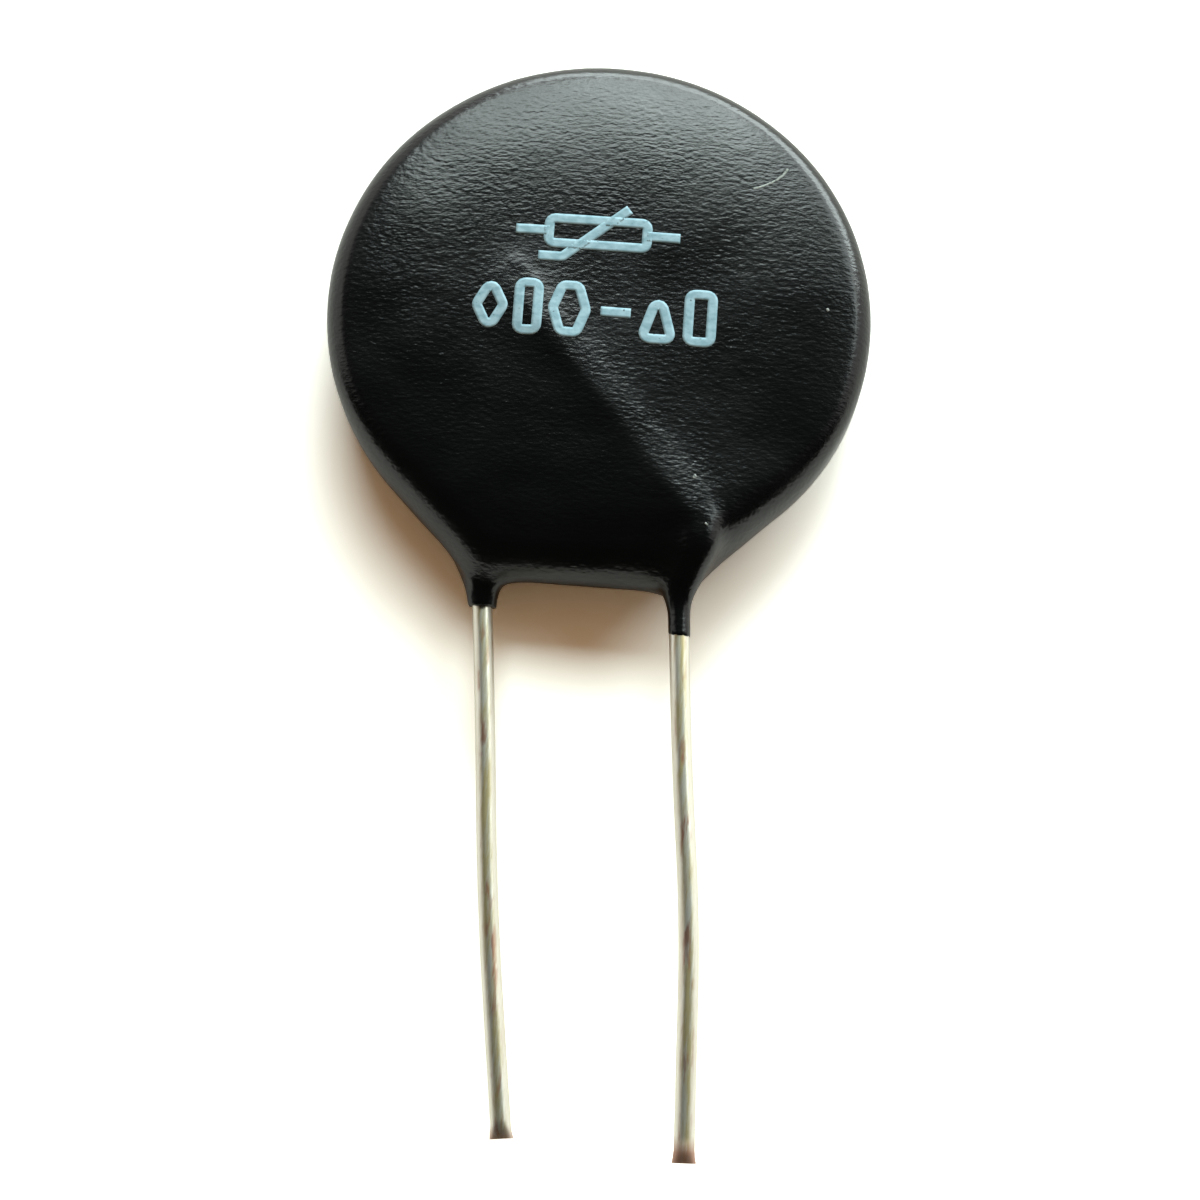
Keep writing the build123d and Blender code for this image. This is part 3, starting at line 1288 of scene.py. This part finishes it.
@dataclass
class Studio:
    """A sheet of white paper under soft lamps behind the part, in a room that is dark overhead.

    Together the lamps and the room light a level face at about one, so that a colour shows as
    it is written. Only rays that look at the paper see it brighter, as an over-exposed sheet.
    """

    paper_colour: str = "F9F8F5"
    paper_gain: float = 1.9
    paper_half: float = 600.0
    paper_gap: float = 0.02
    fill_colour: str = "FFCB96"
    fill_level: float = 0.2
    wall_colour: str = "FFFEFA"
    wall_fade: Span = (0.78, 0.4)
    dark_level: float = 0.03
    dark_side: Point = (0.0, -1.0, 0.0)
    dark_fade: Span = (0.12, -0.08)
    lamps: tuple[Softbox, ...] = (
        Softbox("key_softbox", -4.0, 43.0, (0.64, 0.37), 8.2),
        Softbox("side_softbox", 33.0, 49.0, (1.20, 0.30), 3.9),
        Softbox("low_strip", 20.0, 75.0, (1.40, 0.46), 9.0),
    )

    def floor(self) -> None:
        """The sheet of paper, just under the part's lowest point."""
        low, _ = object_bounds()
        half, z = self.paper_half * MM, low.z - self.paper_gap * MM
        corners = [(x * half, y * half, z) for x, y in ((-1, -1), (1, -1), (1, 1), (-1, 1))]
        mesh = bpy.data.meshes.new("floor")
        mesh.from_pydata(corners, [], [(0, 1, 2, 3)])
        material = bpy.data.materials.new("white_paper")
        material.use_nodes = True
        tree = material.node_tree
        tree.nodes.clear()
        plain = linear(self.paper_colour)
        bright = (*(c * self.paper_gain for c in plain[:3]), 1.0)
        paper, exposed = (add(tree, "BsdfDiffuse", colour) for colour in (plain, bright))
        seen = add(tree, "LightPath").outputs["Is Camera Ray"]
        add(tree, "OutputMaterial", add(tree, "MixShader", seen, paper, exposed))
        mesh.materials.append(material)
        floor = put("floor", mesh)
        floor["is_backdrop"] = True

    def room(self) -> None:
        """The room: white to the camera, white walls and a dark ceiling in the metal, warm fill."""
        world = bpy.data.worlds.new("room")
        bpy.context.scene.world = world
        world.use_nodes = True
        # It is even, so it is found without a map of its bright spots
        world.cycles.sampling_method = "NONE"
        tree = world.node_tree
        tree.nodes.clear()
        where = add(tree, "TexCoord").outputs["Generated"]
        up = add(tree, "SeparateXYZ", where).outputs["Z"]
        low = add(tree, "MapRange", up, *self.wall_fade, **EASED)
        behind = add(tree, "VectorMath DOT_PRODUCT", where, self.dark_side)
        away = add(tree, "MapRange", behind, *self.dark_fade, **EASED)
        both = add(tree, "Math MULTIPLY", low, away)
        level = add(tree, "MapRange", both, 0.0, 1.0, self.dark_level, 1.0)
        walls = add(tree, "Background", linear(self.wall_colour), level)
        fill = add(tree, "Background", linear(self.fill_colour), self.fill_level)
        white = add(tree, "Background", linear("FFFFFF"), 1.0)
        # Camera, mirror and clear rays look at the room, and any other is light on its way
        rays = add(tree, "LightPath").outputs
        looked = rays["Is Camera Ray"]
        for kind in ("Is Glossy Ray", "Is Transmission Ray"):
            looked = add(tree, "Math MAXIMUM", looked, rays[kind])
        surroundings = add(tree, "MixShader", looked, fill, walls)
        add(tree, "OutputWorld", add(tree, "MixShader", rays["Is Camera Ray"], surroundings, white))

    def build(self) -> None:
        """Sets up the room, the paper and every lamp."""
        self.room()
        self.floor()
        for lamp in self.lamps:
            lamp.build()


@dataclass
class Viewpoint:
    """The camera: nearly overhead, leaning back towards the leads and turned a few degrees."""

    lean: float = 12.0
    roll: float = 4.0
    distance: float = 150.0
    offset: Place = (-0.05, 14.04)
    focal_length: float = 89.1

    def build(self) -> None:
        """Makes the camera and sets it as the scene's."""
        lean, roll = math.radians(self.lean), math.radians(self.roll)
        ahead = Vector((-math.sin(roll), math.cos(roll), 0))
        right = Vector((math.cos(roll), math.sin(roll), 0))
        looking = ahead * math.sin(lean) - Vector((0, 0, math.cos(lean)))
        up = right.cross(looking)
        target = right * self.offset[0] + up * self.offset[1]
        data = bpy.data.cameras.new("camera")
        data.sensor_width = 36.0
        data.lens = self.focal_length
        turned = Matrix((right, up, -looking)).transposed().to_4x4()
        turned.translation = disc_middle() - (looking * self.distance + target) * MM
        camera = put("camera", data)
        camera.matrix_world = turned
        bpy.context.scene.camera = camera


def main() -> None:
    """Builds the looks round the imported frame, piece by piece."""
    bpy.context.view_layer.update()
    coat = ResinCoat(DippedResin()).build()
    wire = TinnedCopper()
    Lead("front_tinned_lead", "front_lead", FRONT_COURSE, wire).build()
    Lead("back_tinned_lead", "back_lead", BACK_COURSE, wire).build()
    PrintedMarks(PrintingInk()).build(coat)
    Scuffs(ScuffedResin()).build(coat)
    SealedPieces(SinteredCeramic(), FiredSilver(), TinSolder()).dress()

    Studio().build()
    Viewpoint().build()
    bpy.context.scene.view_settings.view_transform = "Standard"


if __name__ == "__main__":
    main()
